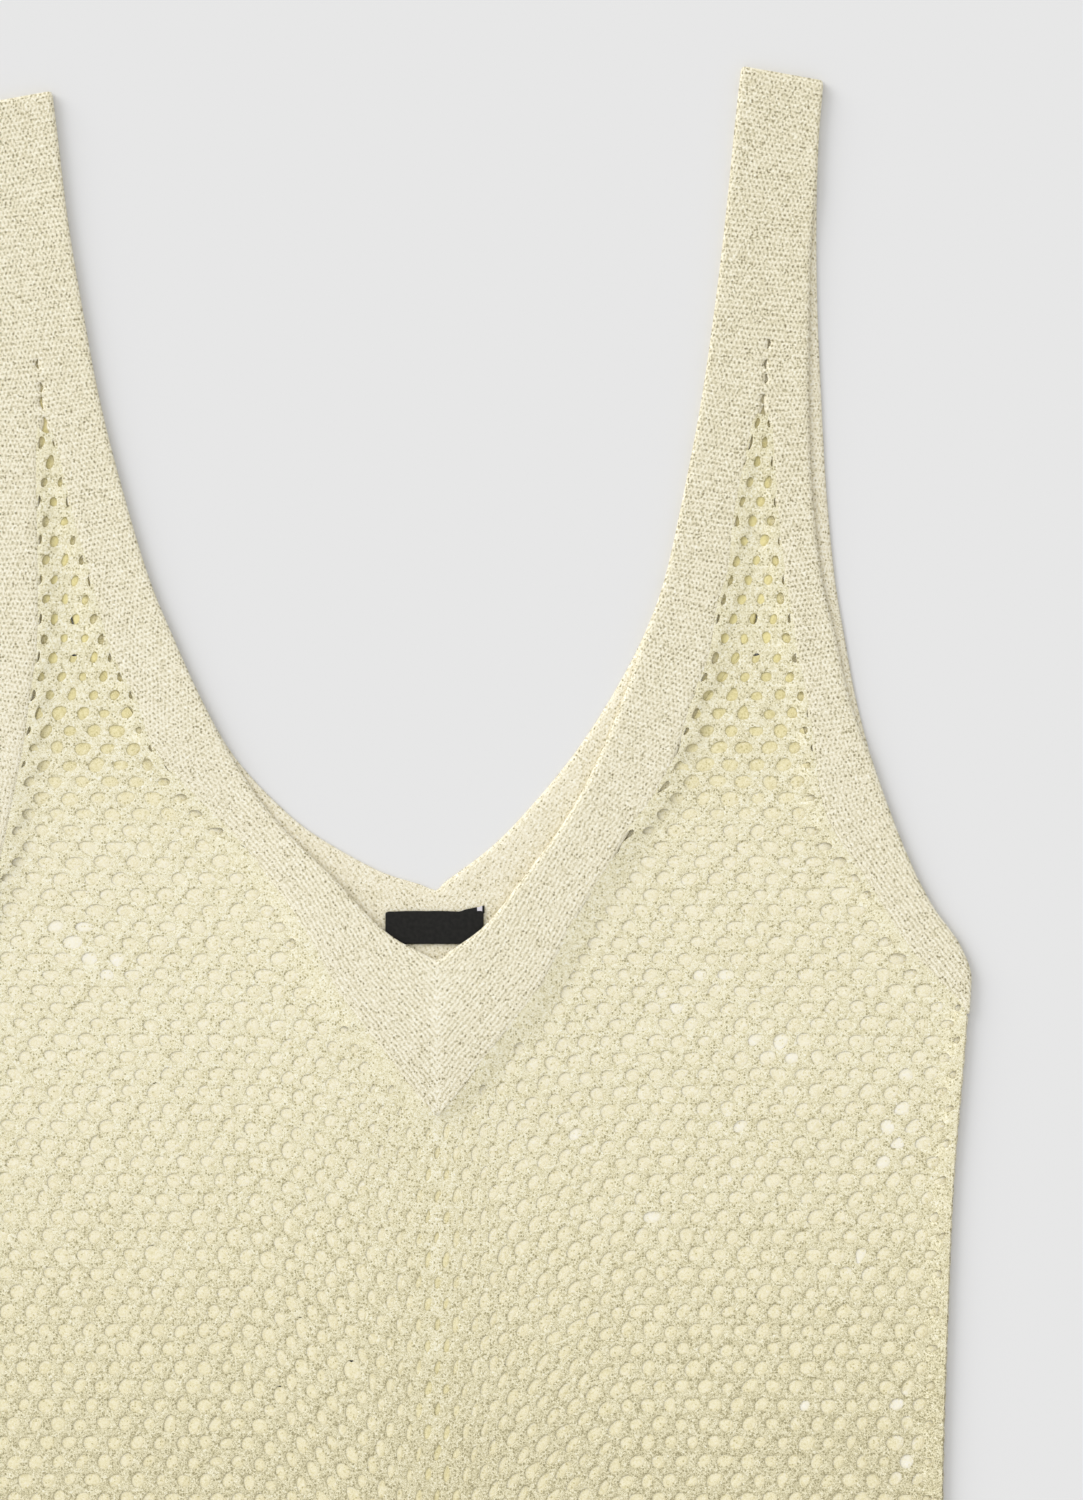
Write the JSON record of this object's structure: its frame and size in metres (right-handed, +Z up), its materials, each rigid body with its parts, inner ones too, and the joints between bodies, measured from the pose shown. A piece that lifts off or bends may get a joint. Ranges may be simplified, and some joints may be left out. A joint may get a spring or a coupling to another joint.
{
  "type": "open-knit maxi dress",
  "caption": "Sleeveless open-knit maxi dress with wide shoulder straps and a deep V neck, laid flat, front panel on back panel.",
  "frame": {"origin": "under the middle of the bounding box, on the surface that the dress lies on", "axes": "+Y from the hem to the shoulders, +Z up from the surface, out of the front; +X to the wearer's left, which is the right of the picture"},
  "size_m": [0.524, 1.32, 0.0048],
  "materials": {
    "lurex_knit": "pale yellow viscose knit with a fine metallic thread, matt with small bright specks",
    "black_ribbon": "black woven satin ribbon, folded and pressed"
  },
  "bodies": {
    "root": {"front_panel": "lurex_knit", "back_panel": "lurex_knit", "label": "black_ribbon", "size_tab": "black_ribbon"}
  },
  "joints": []
}
